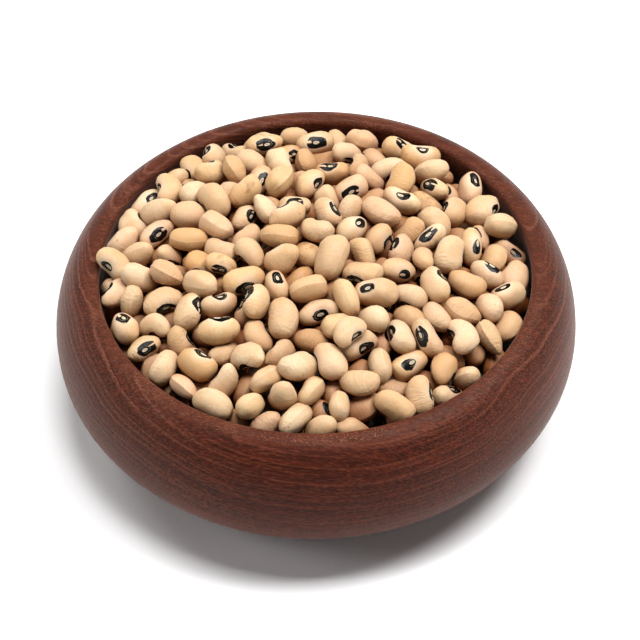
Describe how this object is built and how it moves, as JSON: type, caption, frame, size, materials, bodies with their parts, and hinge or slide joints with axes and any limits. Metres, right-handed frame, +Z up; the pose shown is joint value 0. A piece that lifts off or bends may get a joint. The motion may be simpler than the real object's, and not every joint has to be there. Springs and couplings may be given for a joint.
{
  "type": "bowl of dried beans",
  "caption": "Low round wooden bowl with a bulging side and an incurved rim, heaped with dried black-eyed beans.",
  "frame": {"origin": "middle of the bowl's foot, on the surface that it stands on", "axes": "+Z up along the axis that the bowl was turned about; -Y is the side that faces the picture's camera"},
  "size_m": [0.13, 0.13, 0.0543],
  "materials": {
    "bowl_wood": "dark reddish brown turned hardwood, satin, with fine horizontal grain",
    "dried_beans": "dry cream skins with a dull shine and a black eye round each pale scar"
  },
  "bodies": {
    "root": {"bowl": "bowl_wood", "beans": "dried_beans"}
  },
  "joints": []
}
